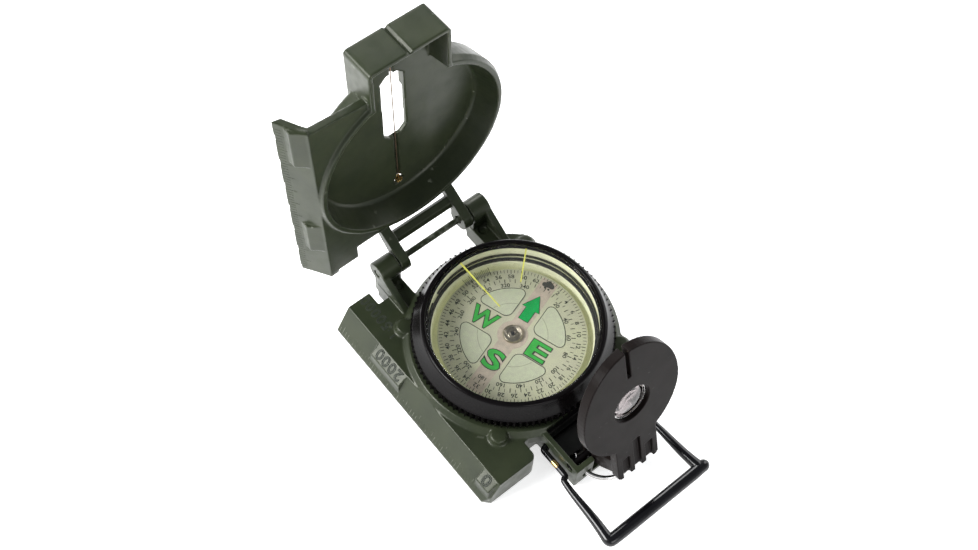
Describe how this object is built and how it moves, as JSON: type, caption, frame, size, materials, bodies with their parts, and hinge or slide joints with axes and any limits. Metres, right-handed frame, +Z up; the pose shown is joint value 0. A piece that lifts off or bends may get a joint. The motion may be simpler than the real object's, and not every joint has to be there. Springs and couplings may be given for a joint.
{
  "type": "sighting compass",
  "caption": "Folding sighting compass: hinged cover with sight slot and wire, liquid dial under a turning bezel, fold-down magnifier, wire thumb loop and lanyard ring.",
  "frame": {"origin": "on the dial's axis, in the plane of the casting's flat underside", "axes": "+Z up along the dial's axis, +Y from the dial towards the cover's hinge, +X to the right with the straight ruler edge on -X"},
  "size_m": [0.0564, 0.1004, 0.0796],
  "materials": {
    "green_paint": "satin",
    "black_plastic": "satin",
    "black_lacquer": "gloss",
    "cream_plastic": "satin",
    "clear_window": "polished",
    "luminous_line": "matte",
    "brass": "polished",
    "bright_steel": "polished",
    "dark_steel": "satin",
    "rubber": "matte"
  },
  "bodies": {
    "base": {"base_casting": "green_paint", "rubber_foot_rear_left": "rubber", "rubber_foot_front_left": "rubber", "rubber_foot_rear_right": "rubber", "rubber_foot_front_right": "rubber", "capsule_cup": "cream_plastic", "pivot_post": "bright_steel", "glass_gasket": "rubber", "capsule_glass": "clear_window", "capsule_snap_ring": "dark_steel", "bezel_retaining_ring": "bright_steel", "cover_hinge_pin": "dark_steel", "lens_hinge_pin": "dark_steel"},
    "dial": {"compass_card": "cream_plastic", "magnet_bar": "bright_steel", "pivot_cap": "brass"},
    "bezel": {"bezel_ring": "black_plastic", "bezel_glass": "clear_window", "bezel_index_long": "luminous_line", "bezel_index_short": "luminous_line"},
    "cover": {"cover_casting": "green_paint", "sighting_wire": "dark_steel", "wire_anchor_pin": "brass"},
    "bracket": {"lens_bracket": "black_plastic", "magnifier_lens": "clear_window"},
    "loop": {"thumb_loop": "black_lacquer"},
    "ring": {"lanyard_ring": "bright_steel"}
  },
  "joints": [
    {"name": "cover_hinge", "type": "hinge", "parent": "base", "child": "cover", "pos_m": [0, 0.03175, 0.0126], "axis": [-1, 0, 0], "range_deg": [-91.3, 88.7]},
    {"name": "bracket_hinge", "type": "hinge", "parent": "base", "child": "bracket", "pos_m": [0, -0.0334, 0.0069], "axis": [1, 0, 0], "range_deg": [-74, 16]},
    {"name": "loop_pivot", "type": "hinge", "parent": "base", "child": "loop", "pos_m": [0, -0.0255, 0.0042], "axis": [1, 0, 0], "range_deg": [-37, 90]},
    {"name": "bezel_turn", "type": "hinge", "parent": "base", "child": "bezel", "pos_m": [0, 0, 0.0125], "axis": [0, 0, 1], "continuous": true},
    {"name": "dial_turn", "type": "hinge", "parent": "base", "child": "dial", "pos_m": [0, 0, 0.009], "axis": [0, 0, 1], "continuous": true},
    {"name": "lanyard_ring_turn", "type": "hinge", "parent": "base", "child": "ring", "pos_m": [0, -0.0342, 0.003], "axis": [0, 0, 1], "continuous": true}
  ]
}
